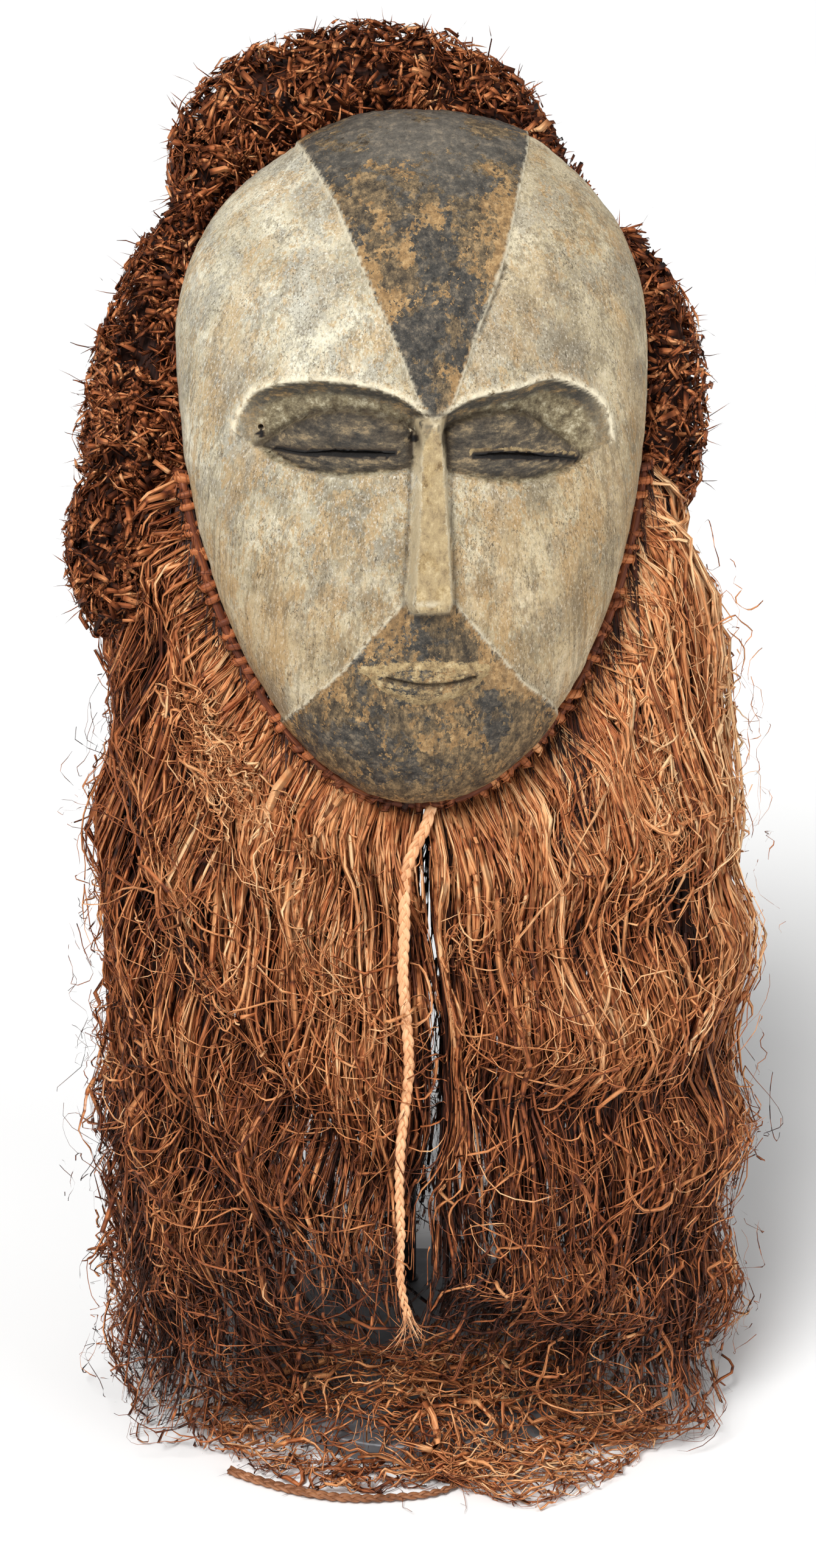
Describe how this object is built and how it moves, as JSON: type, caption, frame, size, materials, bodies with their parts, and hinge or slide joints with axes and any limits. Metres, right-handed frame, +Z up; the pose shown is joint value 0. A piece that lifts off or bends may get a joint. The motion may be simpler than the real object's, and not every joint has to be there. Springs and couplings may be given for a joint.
{
  "type": "galoa mask",
  "caption": "Hollow carved wooden face mask with pierced eye slits, a trimmed raffia coiffure, a long parted raffia cape to the floor, and a rod stand with a round foot.",
  "frame": {"origin": "centre of the stand foot's underside, on the floor", "axes": "+Z up the post, +X to the right as the face is seen from in front, -Y out of the face"},
  "size_m": [0.3729, 0.2838, 0.7697],
  "materials": {
    "painted_wood": "worn white clay, ochre and dark paint on carved wood, matt",
    "dark_raffia": "trimmed dark brown raffia fibre, matt",
    "raffia": "loose red-brown raffia fibre, matt",
    "plait": "plaited pale raffia",
    "dark_plait": "plaited dark raffia",
    "black_steel": "satin black paint",
    "grey_steel": "grey steel plate with a worn satin coat"
  },
  "bodies": {
    "root": {"mask_face": "painted_wood", "stand_base": "grey_steel", "stand_post": "black_steel", "stand_upper_arm": "black_steel", "stand_cradle": "black_steel", "coiffure_crown": "dark_raffia", "coiffure_left_upper": "dark_raffia", "coiffure_left_lower": "dark_raffia", "coiffure_right": "dark_raffia", "rim_edging": "raffia", "neck_edging": "raffia", "beard_left": "raffia", "beard_right": "raffia", "cape_left": "raffia", "cape_right": "raffia", "cape_back_left": "raffia", "cape_back_right": "raffia", "chin_cord": "plait", "hem_cord": "dark_plait"}
  },
  "joints": []
}
